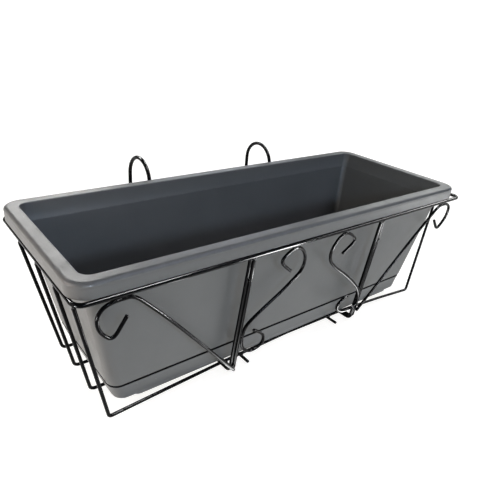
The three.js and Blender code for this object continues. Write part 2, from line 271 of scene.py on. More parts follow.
def columns(corner=24):
    """Where the points of one ring sit: (corner sign x, sign y, angle) on the corners, and fractions between."""
    out = []
    along = [0.004, 0.02] + [k / 16 for k in range(1, 16)] + [0.98, 0.996]
    across = [0.012, 0.06] + [k / 8 for k in range(1, 8)] + [0.94, 0.988]
    for k in range(4):
        for i in range(corner + 1):
            out.append((k, (k + i / corner) * math.pi / 2, None))
        for f in (along if k in (0, 2) else across):
            out.append((k, (k + 1) * math.pi / 2, f))
    return out


def loft(name, levels, edge, bow=0.0, painted_shade=None, painted_light_band=None):
    """Skin a stack of rounded rectangles into one closed body. bow pulls the middles of the long sides in."""
    cols = columns()
    sign = [(1, 1), (-1, 1), (-1, -1), (1, -1)]
    verts, marks = [], []

    def corner_point(k, t, a, b, r):
        sx, sy = sign[k % 4]
        return np.array([sx * (a - r) + r * math.cos(t), sy * (b - r) + r * math.sin(t)])

    for (z, a, b, r), e in zip(levels, edge):
        for k, t, f in cols:
            p = corner_point(k, t, a, b, r)
            if f is not None:
                q = corner_point(k + 1, t, a, b, r)
                p = p + (q - p) * f
                if bow:
                    depth = max(0.0, min(1.0, -z / 60.0))
                    inward = -np.sign(p) * np.array([k % 2, (k + 1) % 2])
                    p = p + inward * bow * depth * 4 * f * (1 - f) * (1.0 if k in (0, 2) else 0.5)
            verts.append((p[0], p[1], z))
            marks.append(e)
    n, m = len(cols), len(levels)
    faces = [tuple(range(n - 1, -1, -1)), tuple((m - 1) * n + i for i in range(n))]
    for j in range(m - 1):
        for i in range(n):
            l = (i + 1) % n
            faces.append((j * n + i, j * n + l, (j + 1) * n + l, (j + 1) * n + i))
    obj = new_object(name, row(verts), faces)
    attribute(obj, "edge", marks)
    attribute(obj, "painted_shade", np.repeat([painted_shade(*lv) for lv in levels], n) if painted_shade else [0.0] * len(verts))
    attribute(obj, "painted_light_band", np.repeat([painted_light_band(*lv) for lv in levels], n) if painted_light_band else [0.0] * len(verts))
    return obj


def turned(points, x, y, sides=36):
    """Vertices and faces of a lathe body about an upright axis; points are (radius, z)."""
    verts, faces = [], []
    for r, z in points:
        for k in range(sides):
            t = 2 * math.pi * k / sides
            verts.append((x + r * math.cos(t), y + r * math.sin(t), z))
    m = len(points)
    for j in range(m - 1):
        for k in range(sides):
            l = (k + 1) % sides
            faces.append((j * sides + k, j * sides + l, (j + 1) * sides + l, (j + 1) * sides + k))
    faces.append(tuple(range(sides - 1, -1, -1)))
    faces.append(tuple((m - 1) * sides + k for k in range(sides)))
    return verts, faces


def merged(name, bodies):
    verts, faces = [], []
    for v, f in bodies:
        o = len(verts)
        verts += list(v)
        faces += [tuple(i + o for i in face) for face in f]
    return new_object(name, row(verts), faces)


def boolean(obj, other, how):
    m = obj.modifiers.new("cut", "BOOLEAN")
    m.operation, m.object, m.solver = how, other, "EXACT"
    bpy.context.view_layer.update()
    done = bpy.data.meshes.new_from_object(obj.evaluated_get(bpy.context.evaluated_depsgraph_get()))
    obj.modifiers.clear()
    old = obj.data
    obj.data = done
    bpy.data.meshes.remove(old)
    bpy.data.objects.remove(other)
    obj.data.polygons.foreach_set("use_smooth", [True] * len(obj.data.polygons))
    obj.data.set_sharp_from_angle(angle=math.radians(32))
    return obj


# ------------------------------------------------------------------ materials
class Nodes:
    def __init__(self, name):
        self.mat = bpy.data.materials.new(name)
        self.mat.use_nodes = True
        self.tree = self.mat.node_tree
        self.shader = self.tree.nodes["Principled BSDF"]

    def add(self, kind, inputs=None, **props):
        n = self.tree.nodes.new(kind)
        for k, v in props.items():
            setattr(n, k, v)
        for k, v in (inputs or {}).items():
            if isinstance(v, bpy.types.NodeSocket):
                self.tree.links.new(v, n.inputs[k])
            else:
                n.inputs[k].default_value = v
        return n

    def link(self, a, b):
        self.tree.links.new(a, b)

    def noise(self, vector, scale, detail=2.0, rough=0.5, distortion=0.0):
        return self.add("ShaderNodeTexNoise", {"Vector": vector, "Scale": scale, "Detail": detail,
                                               "Roughness": rough, "Distortion": distortion}).outputs["Fac"]

    def ramp(self, value, a, b, lo=0.0, hi=1.0):
        return self.add("ShaderNodeMapRange", {"Value": value, "From Min": a, "From Max": b,
                                               "To Min": lo, "To Max": hi}).outputs["Result"]

    def math(self, op, a, b=None):
        n = self.tree.nodes.new("ShaderNodeMath")
        n.operation = op
        for i, v in enumerate((a, b)):
            if v is None:
                continue
            if isinstance(v, bpy.types.NodeSocket):
                self.tree.links.new(v, n.inputs[i])
            else:
                n.inputs[i].default_value = v
        return n.outputs[0]

    def mix(self, fac, a, b):
        n = self.add("ShaderNodeMix", data_type="RGBA")
        for sock, v in ((n.inputs[0], fac), (n.inputs[6], a), (n.inputs[7], b)):
            if isinstance(v, bpy.types.NodeSocket):
                self.tree.links.new(v, sock)
            elif isinstance(v, tuple):
                sock.default_value = (*v, 1.0)
            else:
                sock.default_value = v
        return n.outputs[2]

    def bump(self, height, distance, strength, normal=None):
        ins = {"Height": height, "Distance": distance, "Strength": strength}
        if normal is not None:
            ins["Normal"] = normal
        return self.add("ShaderNodeBump", ins).outputs["Normal"]


def plastic(name, dark, light, rough):
    """Moulded plastic: cloudy pigment, fine spark-eroded grain, faint sink waves, rubbed edges and a little dust, with
    painted shade in the seam gap and one crease, and a painted paler band inside the rim.
    """
    n = Nodes(name)
    co = n.add("ShaderNodeTexCoord").outputs["Object"]
    stretched = n.add("ShaderNodeMapping", {"Vector": co, "Scale": (0.35, 0.35, 1.0)}).outputs["Vector"]
    clouds = n.noise(co, 11.0, 4.0, 0.55, 0.4)
    flow = n.noise(stretched, 60.0, 3.0, 0.6, 0.8)
    grain = n.noise(co, 2300.0, 2.0, 0.55)
    pits = n.noise(co, 700.0, 1.0, 0.5)
    colour = n.mix(n.ramp(clouds, 0.3, 0.7), dark, light)
    colour = n.mix(n.ramp(flow, 0.35, 0.75, 0.0, 0.30), colour, tuple(0.5 * (a + b) * 1.07 for a, b in zip(dark, light)))
    colour = n.mix(n.ramp(grain, 0.35, 0.65, 0.0, 0.16), colour, tuple(a * 0.72 for a in dark))
    # rubbed edges: paler and a little smoother, broken up
    edge = n.add("ShaderNodeAttribute", attribute_name="edge").outputs["Fac"]
    rub = n.math("MULTIPLY", edge, n.ramp(n.noise(co, 180.0, 4.0, 0.65), 0.42, 0.62, 0.08, 0.55))
    colour = n.mix(rub, colour, tuple(min(1.0, a * 1.55) for a in light))
    # dust settles on faces that look up
    up = n.add("ShaderNodeSeparateXYZ", {"Vector": n.add("ShaderNodeNewGeometry").outputs["Normal"]}).outputs["Z"]
    dusty = n.math("MULTIPLY", n.ramp(up, 0.55, 0.98), n.ramp(n.noise(co, 90.0, 5.0, 0.7), 0.45, 0.75, 0.0, 0.12))
    colour = n.mix(dusty, colour, (0.36, 0.36, 0.34))
    # single specks
    cell = n.add("ShaderNodeTexVoronoi", {"Vector": co, "Scale": 150.0, "Randomness": 1.0}, feature="F1")
    few = n.math("GREATER_THAN", n.add("ShaderNodeSeparateColor", {"Color": cell.outputs["Color"]}).outputs[0], 0.965)
    near = n.math("LESS_THAN", cell.outputs["Distance"], 0.055)
    speck = n.math("MULTIPLY", n.math("MULTIPLY", few, near), 0.55)
    colour = n.mix(speck, colour, (0.52, 0.51, 0.49))
    # painted light: the inner wall between rim and ledge is painted paler, where more light reaches it than deeper down
    painted_light_band = n.add("ShaderNodeAttribute", attribute_name="painted_light_band").outputs["Fac"]
    colour = n.mix(n.math("MULTIPLY", painted_light_band, 0.13), colour, tuple(a * 1.9 for a in light))
    # painted shade: near black in the gap at the seam and in the crease under the rim's roll
    painted_shade = n.add("ShaderNodeAttribute", attribute_name="painted_shade").outputs["Fac"]
    painted_shade = n.math("MULTIPLY", painted_shade, n.ramp(n.noise(co, 120.0, 3.0, 0.6), 0.2, 0.5, 0.85, 1.0))
    colour = n.mix(painted_shade, colour, (0.006, 0.006, 0.006))
    n.link(colour, n.shader.inputs["Base Color"])
    r = n.ramp(n.noise(co, 38.0, 5.0, 0.6, 0.3), 0.3, 0.7, rough - 0.05, rough + 0.06)
    r = n.math("ADD", r, n.ramp(pits, 0.3, 0.7, -0.02, 0.03))
    r = n.math("SUBTRACT", r, n.math("MULTIPLY", rub, 0.12))
    r = n.math("ADD", r, n.math("MULTIPLY", dusty, 0.8))
    r = n.math("ADD", r, n.math("MULTIPLY", painted_shade, 0.5))
    n.link(r, n.shader.inputs["Roughness"])
    waves = n.bump(n.noise(stretched, 22.0, 1.0, 0.4), 0.0011, 0.35)
    pitted = n.bump(pits, 0.00005, 0.35, waves)
    n.link(n.bump(grain, 0.00003, 0.6, pitted), n.shader.inputs["Normal"])
    n.shader.inputs["Specular IOR Level"].default_value = 0.42
    return n.mat


def lacquer(name, weld=False):
    """Gloss black lacquer over wire: orange peel, thin dusting, scuffs where the wire is rubbed or cut."""
    n = Nodes(name)
    co = n.add("ShaderNodeTexCoord").outputs["Object"]
    peel = n.noise(co, 520.0, 2.0, 0.5)
    blotch = n.noise(co, 70.0, 4.0, 0.6, 0.5)
    fine = n.noise(co, 3200.0, 2.0, 0.5)
    colour = n.mix(n.ramp(blotch, 0.35, 0.7), (0.0018, 0.0019, 0.0021), (0.0036, 0.0037, 0.0040))
    up = n.add("ShaderNodeSeparateXYZ", {"Vector": n.add("ShaderNodeNewGeometry").outputs["Normal"]}).outputs["Z"]
    dust = n.math("MULTIPLY", n.ramp(up, 0.3, 1.0), n.ramp(n.noise(co, 400.0, 4.0, 0.7), 0.5, 0.8, 0.0, 0.03))
    colour = n.mix(dust, colour, (0.20, 0.20, 0.19))
    worn = n.add("ShaderNodeAttribute", attribute_name="wear").outputs["Fac"]
    scuff = n.math("MULTIPLY", worn, n.ramp(n.noise(co, 900.0, 3.0, 0.6), 0.50, 0.62, 0.0, 0.75))
    colour = n.mix(scuff, colour, (0.075, 0.070, 0.066))
    n.link(colour, n.shader.inputs["Base Color"])
    base = (0.24, 0.40) if weld else (0.07, 0.14)
    r = n.ramp(blotch, 0.3, 0.7, *base)
    r = n.math("ADD", r, n.ramp(fine, 0.35, 0.65, -0.01, 0.03))
    r = n.math("ADD", r, n.math("MULTIPLY", dust, 1.5))
    r = n.math("ADD", r, n.math("MULTIPLY", scuff, 0.3))
    n.link(r, n.shader.inputs["Roughness"])
    if weld:
        rough = n.bump(n.noise(co, 900.0, 3.0, 0.6), 0.00025, 0.6)
    else:
        rough = n.bump(peel, 0.00005, 0.30)
    n.link(n.bump(fine, 0.000008, 0.3, rough), n.shader.inputs["Normal"])
    n.shader.inputs["Specular IOR Level"].default_value = 0.07
    n.shader.inputs["Specular Tint"].default_value = (0.42, 0.42, 0.43, 1.0)
    return n.mat


trough_finish = plastic("trough_plastic_moulded", (0.132, 0.135, 0.128), (0.155, 0.157, 0.149), 0.36)
saucer_finish = plastic("saucer_plastic_moulded", (0.135, 0.138, 0.133), (0.156, 0.159, 0.154), 0.38)
wire_finish = lacquer("black_wire_lacquer")
weld_finish = lacquer("black_weld_lacquer", weld=True)


def dress(obj, material, slot, body, *nodes):
    obj.data.materials.clear()
    obj.data.materials.append(material)
    if nodes:
        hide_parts(*nodes)
    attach(obj, body)
    return obj


# ------------------------------------------------------------------ trough
HX, HY = RIM_HALF


def inset(z, ix, iy, r, d=0.0):
    return (z, HX - ix, HY - iy, r, d)


def outer_x(z):
    return 11.2 - 0.2016 * z


def outer_y(z):
    return 11.2 - 0.1266 * z


def body_r(z):
    return 9 - 2 * z / 128.4


profile = [
    inset(TROUGH_FLOOR, 49.0, 37.9, 3.0),
    inset(TROUGH_FLOOR, 44.1, 33.0, 7.4, 1.9),
    inset(SEAM_Z - 0.3, 40.8, 31.1, 7.9, 0.3),
    inset(SEAM_Z + 0.25, outer_x(SEAM_Z) + 0.05, outer_y(SEAM_Z) + 0.05, 11, 0.7),
]
for z in (-126.2, -118, -106, -94, -82, -70, -58, -46, -34, -22, -12):
    profile.append(inset(z, outer_x(z), outer_y(z), body_r(z)))
profile += [
    inset(-3.2, outer_x(-3.2), outer_y(-3.2), 9, 0.5),
    inset(-2.5, 10.6, 10.6, 9.5, 0.3),
    inset(-2.5, 5.0, 5.0, 14.0, 0.8),
    inset(-4.9, 2.75, 2.75, 16.25, 0.8),
    inset(-LIP_DEPTH + 0.6, 2.5, 2.5, 16.5),
    inset(-LIP_DEPTH + 0.1, 2.5, 2.5, 16.5, 0.4),
    inset(-LIP_DEPTH + 0.1, 0.34, 0.34, RIM_CORNER - 0.34, 0.6),
    inset(-LIP_DEPTH + 1.4, 0.32, 0.32, RIM_CORNER - 0.32),
    inset(-9.5, 0.22, 0.22, RIM_CORNER - 0.22),
    inset(-5.6, 0.13, 0.13, RIM_CORNER - 0.13),
]
levels, marks = soften(profile)
# the rim's top rolls over into the lip, with a trace of a moulding line under the roll
for k in range(17):
    t = math.radians(-14 + 104 * k / 16)
    i = 4.4 - 4.4 * math.cos(t) + (0.07 if k == 0 else 0.0)
    z = -3.1 + 3.1 * math.sin(t)
    levels.append(np.array([z, HX - i, HY - i, RIM_CORNER - i]))
    marks.append(0.30 if 2 < k < 9 else 0.10)
inner = [
    inset(-0.001, 5.4, 5.4, RIM_CORNER - 5.4),
    inset(-0.02, 8.5, 8.5, 13.5),
    inset(-0.04, 11.4, 11.4, 11.6),
    inset(-0.06, 13.35, 13.35, 9.6, 1.3),
    inset(-2.6, 13.7, 13.6, 8.8),
    inset(-9.5, 14.7, 14.2, 7.2),
    inset(-14.0, 16.0, 15.2, 6.6),
    inset(-16.9, 17.4, 16.35, 6.3),
    inset(-17.9, 17.95, 16.75, 6.2, 0.5),
    inset(-19.4, outer_x(-19.4) + WALL + 1.2, outer_y(-19.4) + WALL + 1.2, 6.0),
]
for z in (-30, -42, -54, -66, -78, -90, -102, -114, -123.6):
    f = (z + 17.9) / (-125.6 + 17.9)
    inner.append(inset(z, outer_x(z) + 3.4 - 0.2 * f, outer_y(z) + 3.4 - 0.3 * f, 6.0 - 0.2 * f))
inner += [
    inset(-125.7, outer_x(-125.7) + 3.2, outer_y(-125.7) + 3.1, 5.8, 0.8),
    inset(-126.6, 43.2, 33.6, 6, 0.8),
    inset(-134.3, 45.2, 34.7, 5.6),
    inset(-139.3, 46.6, 35.9, 5.2, 3.0),
    inset(-139.3, 51.0, 40.3, 1.2),
]
more, more_marks = soften(inner)
levels += more
marks += more_marks


# painted shade for the trough: how dark each level is painted
def trough_painted_shade(z, a, b, r):
    if z < SEAM_Z + 0.1 and HX - a < 42.6:
        return max(0.0, min(1.0, (z + 135.0) / 2.0))            # painted shade on the foot's wall in the gap just under the step
    if -4.3 < z < -3.2 and HX - a < 1.0:
        return 0.16                                             # painted shade in the crease under the rim's roll
    return 0.0


# painted light: which inner levels get the paler band
def inner_painted_light_band(z, a, b, r):
    return 1.0 if -17.6 < z < -6.0 and HX - a > 14.0 else 0.5 if -6.0 <= z < -2.0 and HX - a > 13.4 else 0.0


trough = loft("trough_shell", levels, marks, bow=0.35, painted_shade=trough_painted_shade, painted_light_band=inner_painted_light_band)

feet, holes = [], []
for x, y in [(-150, -40), (-150, 40), (0, -40), (0, 40), (150, -40), (150, 40)]:
    feet.append(turned([(5.2, FOOT_BOTTOM), (6.1, FOOT_BOTTOM + 0.15), (6.7, FOOT_BOTTOM + 0.6), (6.85, FOOT_BOTTOM + 1.3),
                        (7.0, TROUGH_FLOOR - 0.8), (7.0, TROUGH_FLOOR + 1)], x, y))
for x, y in [(-180, 0), (-105, 26), (-105, -26), (-38, 0), (38, 0), (105, 26), (105, -26), (180, 0)]:
    holes.append(turned([(4.0, TROUGH_FLOOR - 2), (4.0, -139.75), (4.5, -139.25), (5.0, -138.7), (5.0, TROUGH_FLOOR + 6)], x, y))
boolean(trough, merged("feet_blank", feet), "UNION")
boolean(trough, merged("drain_blank", holes), "DIFFERENCE")
dress(trough, trough_finish, "trough_plastic", "trough", "trough")

# ------------------------------------------------------------------ saucer
PX, PY = PLINTH_HALF
dish = [
    (PLINTH_BOTTOM, PX - 6, PY - 6, 3.5),
    (PLINTH_BOTTOM, PX - 0.1, PY - 0.1, PLINTH_CORNER, 1.3),
    (SAUCER_BOTTOM - 0.35, PX + 0.2, PY + 0.1, PLINTH_CORNER, 0.3),
    inset(SAUCER_BOTTOM, 43.9, 30.25, 8.2, 2.4),
    inset(-143.6, 41.8, 30.0, 9.6),
    inset(-138.5, 40.3, 29.4, 10.2),
    inset(-133.5, 38.8, 28.6, 10.9),
    inset(SAUCER_TOP - 2.2, 37.95, 28.2, 11.2),
    inset(SAUCER_TOP - 1.05, 37.55, 27.95, 11.4, 0.6),
    inset(SAUCER_TOP - 1.05, 38.1, 28.5, 10.9),
    inset(SAUCER_TOP - 1.05, 39.5, 29.9, 9.8, 0.5),
    inset(-131.9, 40.1, 30.2, 9.7),
    inset(-138.0, 42.0, 31.3, 8.6),
    inset(-144.4, 44.3, 32.6, 7.0, 1.2),
    inset(-145.45, 46.6, 33.75, 5.6, 0.3),
    (-145.7, PX - 1.9, PY - 3.5, PLINTH_CORNER - 3, 0.3),
    (-148.3, PX - 2.4, PY - 4.0, PLINTH_CORNER - 3.4, 1.0),
    (-148.3, PX - 7, PY - 8.6, 1.6),
]


# painted shade on the saucer's inner step, in the gap under the trough's seam
def saucer_painted_shade(z, a, b, r):
    if z < -134.0 or HX - a < 37.62 or (z < SAUCER_TOP - 1.5 and HX - a < 39.0):
        return 0.0
    return min(1.0, (z + 134.0) / 1.5)


saucer = loft("saucer_dish", *soften(dish), painted_shade=saucer_painted_shade)
dress(saucer, saucer_finish, "saucer_plastic", "saucer", "saucer")

# ------------------------------------------------------------------ wires
UPWARDS, SIDEWAYS, DEEP = np.array([0.0, 0, 1]), np.array([1.0, 0, 0]), np.array([0.0, 1, 0])

ring_path = []
for k in range(4):
    sx, sy = [(1, 1), (-1, 1), (-1, -1), (1, -1)][k]
    for i in range(19):
        t = (k + i / 18) * math.pi / 2
        ring_path.append((FRAME_X + sx * (RING_HALF[0] - RING_CORNER) + RING_CORNER * math.cos(t),
                          sy * (RING_HALF[1] - RING_CORNER) + RING_CORNER * math.sin(t), RING_Z))
dress(tube("rail_ring", ring_path, RING_WIRE, UPWARDS, closed=True, sides=28, seed=1),
      wire_finish, "black_wire", "frame", "top_ring")

BASKET = {
    "basket_wire_rear": ((-248.5, 38.5), [(-218, 43.3), (221, 43)], (260.5, 44.5)),
    "basket_wire_mid_rear": ((-248.5, -9), [(-218, 9.2), (221, 9)], (260.5, -3)),
    "basket_wire_mid_front": ((-248.5, -53), [(-218, -31.5), (221, -31.5)], (260.5, -47)),
    "basket_wire_front": ((-247.2, -89.3),
                          [(-218, -73), (-154, -69.3), (-88, -65.8), (5, -62.8), (100, -64.5), (166, -70), (218.5, -76)],
                          (260.5, -64)),
}
for i, (name, (left, foot, right)) in enumerate(BASKET.items()):
    corners = [(*left, LEG_TOP - 0.75)] + [(x, y, BASKET_Z) for x, y in foot] + [(*right, LEG_TOP - 0.75)]
    bend = 4 if name == "basket_wire_front" else 6
    radii = [bend if k in (0, len(foot) - 1) else 0 for k in range(len(foot))]
    dress(tube(name + "_round", bent(corners, radii), THIN_WIRE, DEEP, seed=3 + i),
          wire_finish, "black_wire", "frame", name)


def lean(y):
    return 1 - 0.0104 * y


def tilt(diameter, rise, run):
    return (diameter / 2 / math.cos(math.pi / 8)) * math.sin(math.atan2(run, rise))


for side in (-1, 1):
    tag = "left" if side < 0 else "right"

    def at(x, y, z):
        return np.array([FRAME_X + side * x + lean(y), y, z])

    c = HOOK_SPACING
    path = bent([at(c, -RING_HALF[1], LEG_TOP - tilt(HOOK_WIRE, 140, 17)), at(c, FRONT_FOOT_Y, HOOK_Z),
                 at(c, HOOK_BACK_Y, HOOK_Z), at(c, HOOK_BACK_Y, HOOK_CENTRE_Z)], [6, 8])
    for i in range(1, 37):
        t = math.pi * (1 - i / 36)
        path.append(at(c, HOOK_BACK_Y + HOOK_RADIUS + HOOK_RADIUS * math.cos(t), HOOK_CENTRE_Z + HOOK_RADIUS * math.sin(t)))
    path.append(at(c, HOOK_BACK_Y + 2 * HOOK_RADIUS, HOOK_TIP_Z))
    hook = tube(f"hook_wire_{tag}_round", path, HOOK_WIRE, SIDEWAYS, sides=28, seed=11 + side)
    # the railing rubs the inside of the bend
    co = np.array([v.co for v in hook.data.vertices]) * 1000 - SHIFT
    centre = np.array([0, HOOK_BACK_Y + HOOK_RADIUS, HOOK_CENTRE_Z])
    reach = np.hypot(co[:, 1] - centre[1], co[:, 2] - centre[2])
    inside = (co[:, 2] > HOOK_CENTRE_Z - 4) & (co[:, 1] > HOOK_BACK_Y - 3) & (reach < HOOK_RADIUS - 1.2)
    w = np.array([d.value for d in hook.data.attributes["wear"].data])
    attribute(hook, "wear", np.maximum(w, inside * 0.9))
    dress(hook, wire_finish, "black_wire", "frame", f"hook_wire_{tag}")

    k = CRADLE_SPACING
    dress(tube(f"cradle_wire_{tag}_round",
               bent([at(k, -RING_HALF[1], LEG_TOP - tilt(THIN_WIRE, 140, 17)), at(k, FRONT_FOOT_Y, CRADLE_Z),
                     at(k, RING_HALF[1], CRADLE_Z), at(k, RING_HALF[1], LEG_TOP)], [6, 6]),
               THIN_WIRE, SIDEWAYS, seed=21 + side), wire_finish, "black_wire", "frame", f"cradle_wire_{tag}")
    b = FRAME_X + side * BAR_SPACING
    dress(tube(f"cross_bar_{tag}_round", [np.array([b, -77.0, CRADLE_Z]), np.array([b, 61.0, CRADLE_Z])],
               THIN_WIRE, SIDEWAYS, seed=31 + side), wire_finish, "black_wire", "frame", f"cross_bar_{tag}")


def front(side, a, s, w=0.0):
    """A point of the front ornament: across from the middle, down the legs' plane, out of it."""
    return np.array([FRAME_X + side * a, -RING_HALF[1], RING_Z]) + DOWN * s + OUT * w


ORNAMENT = {
    "outer_crook_left": (-1, [
        (213.4, 21.3, 0.7), (218.2, 29.6, 0.9), (222.6, 36.6, 1.1), (225.4, 38.9, 1.2), (228.6, 38.2, 1.2),
        (232.6, 34.2, 1.1), (236.4, 28, 0.9), (238.2, 21, 0.6), (237.6, 14.2, 0.4), (234.2, 8.8, 0.2),
        (228.8, 5.7, 0.1), (223, 4.6, 0), (217, 4.35, 0), (210.5, 4.6, 0.1), (205, 7.6, 0.3), (198.5, 13.9, 0.6),
        (173.8, 40.8, 1.6), (133.8, 87.5, 3.3), (103, 124.3, 4.4), (92.5, 136.6, 4.4)]),
    "outer_crook_right": (1, [
        (211, 25.0, 0.7), (217.5, 32.6, 0.9), (222.3, 37.6, 1.1), (225.6, 38.4, 1.2), (229, 35.8, 1.1),
        (233, 31, 1.0), (236.6, 24.6, 0.8), (237.8, 17.8, 0.5), (236.4, 11.5, 0.3), (232.2, 7, 0.1),
        (226.5, 4.9, 0), (220, 4.35, 0), (213, 4.8, 0.1), (206.5, 8.2, 0.3), (197.3, 16.9, 0.7),
        (165.7, 49, 2.0), (137.7, 79.6, 3.2), (116.7, 103, 4.3), (105.5, 115.6, 4.4), (95.5, 127.5, 4.4)]),
    "inner_scroll_left": (-1, [(a, s, 0) for a, s in [
        (36.5, 31.4), (42.5, 26.6), (47.6, 22), (50.8, 18), (50.9, 13.9), (47.8, 10.2), (42.8, 6.8), (37.4, 4.5),
        (32.2, 5.1), (26.6, 8.7), (22.2, 14.4), (19.6, 21), (19.2, 28.5), (21.6, 35.6), (26.6, 41.2), (33, 46.6),
        (41.5, 53.6), (53, 61.6), (66, 70.6), (78, 79.6), (83.4, 85.8), (85.2, 92.8), (85.4, 100), (84.2, 108.6),
        (81.2, 115.4), (76.4, 120.4), (70, 123.2), (63.4, 123), (57.6, 120.4), (54.6, 115.4), (55.4, 109.4),
        (59.6, 103.4), (65.6, 98.6), (71.5, 94.6)]]),
    "inner_scroll_right": (1, [(a, s, min(4.4, max(0, (s - 36) / 48 * 4.4))) for a, s in [
        (39.6, 31.2), (46, 26.6), (52, 22), (55, 18.4), (53.8, 15), (50.2, 11.6), (45.6, 8.1), (40.2, 5.4),
        (34.6, 4.7), (29, 7.2), (24.4, 12), (21.2, 18), (20, 24), (20.6, 30.4), (23.4, 36.6), (28.6, 42.4),
        (36, 48.8), (51, 59.8), (68.6, 74.4), (79.6, 85), (85.4, 92.6), (89.4, 100.3), (91, 107.6), (89.4, 113.2),
        (84, 116.8), (76.5, 118), (68.4, 117.3), (60.3, 114.6), (54.4, 109.9), (52.9, 105.2), (55.7, 100.5),
        (61.7, 96.6), (67.4, 94.4)]]),
}
for i, (name, (side, pts)) in enumerate(ORNAMENT.items()):
    path = catmull([front(side, *p) for p in pts], 230)
    dress(tube(name + "_round", path, THIN_WIRE, OUT, seed=41 + i), wire_finish, "black_wire", "frame", name)


# ------------------------------------------------------------------ welds
def ico(levels=3):
    t = (1 + 5 ** 0.5) / 2
    v = [unit(p) for p in [(-1, t, 0), (1, t, 0), (-1, -t, 0), (1, -t, 0), (0, -1, t), (0, 1, t),
                           (0, -1, -t), (0, 1, -t), (t, 0, -1), (t, 0, 1), (-t, 0, -1), (-t, 0, 1)]]
    f = [(0, 11, 5), (0, 5, 1), (0, 1, 7), (0, 7, 10), (0, 10, 11), (1, 5, 9), (5, 11, 4), (11, 10, 2), (10, 7, 6), (7, 1, 8),
         (3, 9, 4), (3, 4, 2), (3, 2, 6), (3, 6, 8), (3, 8, 9), (4, 9, 5), (2, 4, 11), (6, 2, 10), (8, 6, 7), (9, 8, 1)]
    for _ in range(levels - 1):
        mid, out = {}, []

        def half(a, b):
            key = (min(a, b), max(a, b))
            if key not in mid:
                v.append(unit(v[a] + v[b]))
                mid[key] = len(v) - 1
            return mid[key]

        for a, b, c in f:
            x, y, z = half(a, b), half(b, c), half(c, a)
            out += [(a, x, z), (x, b, y), (z, y, c), (x, y, z)]
        f = out
    return v, f


ICO_V, ICO_F = ico()


def bead(centre, size, axis=(0, 0, 1), seed=0):
    """A small uneven drop of weld metal; axis is its short direction."""
    z = unit(axis)
    x = unit(np.cross(z, (0.3, 1.0, 0.2)))
    y = np.cross(z, x)
    verts = []
    for v in ICO_V:
        lump = 1 + 0.16 * noise.noise(Vector(v) * 1.7 + Vector((seed * 3.1, seed, 0))) \
            + 0.07 * noise.noise(Vector(v) * 4.3 + Vector((0, seed * 2.3, seed)))
        q = v * np.array(size) * lump
        verts.append(np.asarray(centre, float) + x * q[0] + y * q[1] + z * q[2])
    return verts, ICO_F


def welds(name, beads):
    obj = merged(name, beads)
    attribute(obj, "wear", [0.25] * len(obj.data.vertices))
    return dress(obj, weld_finish, "black_wire", "frame")


rail, under, ornament = [], [], []
for i, (left, foot, right) in enumerate(BASKET.values()):
    for j, (x, y) in enumerate((left, right)):
        rail.append(bead((x + (0.45 if x < 0 else -0.45), y, LEG_TOP + 0.15), (1.75, 2.2, 1.25), seed=i + 7 * j))
for side in (-1, 1):
    y = -RING_HALF[1]
    for k, d in ((HOOK_SPACING, 2.75), (CRADLE_SPACING, 2.25)):
        x = FRAME_X + side * k + lean(y)
        rail.append(bead((x, y + 0.35, LEG_TOP + 0.1), (d, d - 0.75, 1.25), seed=20 + side + k))
    x = FRAME_X + side * HOOK_SPACING + lean(96)
    rail.append(bead((x, 96.45, RING_Z), (2.9, 2.2, 1.7), axis=(0, 1, 0), seed=30 + side))
    x = FRAME_X + side * CRADLE_SPACING + lean(RING_HALF[1])
    rail.append(bead((x, RING_HALF[1], LEG_TOP + 0.15), (2.2, 2.2, 1.2), seed=34 + side))
    # the hook wire and the cradle wire beside it are tacked together
    for y, z, axis in ((-92.5, LEG_TOP - 22, (1, 0, 0)), (-79.6, HOOK_Z + 16, (1, 0, 0)), (20, HOOK_Z + 0.3, (1, 0, 0))):
        x = FRAME_X + side * (HOOK_SPACING + HOOK_WIRE / 2 + TOUCH / 2) + lean(y)
        under.append(bead((x, y, z), (1.5, 2.6, 1.0), axis=axis, seed=40 + side + y))


def basket_y(name, x):
    foot = BASKET[name][1]
    return float(np.interp(x, [p[0] for p in foot], [p[1] for p in foot]))


for i, name in enumerate(BASKET):
    for side in (-1, 1):
        for k, d in ((HOOK_SPACING, HOOK_WIRE), (CRADLE_SPACING, THIN_WIRE), (BAR_SPACING, THIN_WIRE)):
            straight = k == BAR_SPACING
            x = FRAME_X + side * k + (0 if straight else lean(0))
            y = basket_y(name, x)
            if not straight:
                x = FRAME_X + side * k + lean(y)
            under.append(bead((x, y, BASKET_Z - THIN_WIRE / 2 - TOUCH / 2), (1.9, 1.9, 0.95), seed=60 + i * 6 + side + k))

ornament += [
    bead(front(-1, 217, 2.25, 0), (3.2, 1.7, 1.05), axis=DOWN, seed=101),
    bead(front(1, 220, 2.25, 0), (3.2, 1.7, 1.05), axis=DOWN, seed=102),
    bead(front(-1, 37.0, 2.3, 0), (3.0, 1.7, 1.05), axis=DOWN, seed=103),
    bead(front(1, 36.6, 2.4, 0), (3.0, 1.7, 1.15), axis=DOWN, seed=104),
    bead(front(-1, 92.6, 134.6, 2.3), (2.2, 2.2, 1.2), axis=OUT, seed=105),
    bead(front(1, 96.2, 125.6, 2.3), (2.2, 2.2, 1.2), axis=OUT, seed=106),
    bead(front(-1, 87.6, 97.0, 0), (1.7, 2.8, 1.15), axis=(1, 0, 0), seed=107),
    bead(front(1, 91.8, 106.5, 2.3), (2.2, 2.4, 1.2), axis=OUT, seed=108),
]
welds("welds_on_rail", rail)
welds("welds_under_saucer", under)
welds("welds_on_ornament", ornament)

# ------------------------------------------------------------------ stage, light and camera
scene = bpy.context.scene
scene.view_settings.view_transform = "Standard"
scene.view_settings.look = "None"
scene.view_settings.exposure = 0.0
scene.view_settings.gamma = 1.0


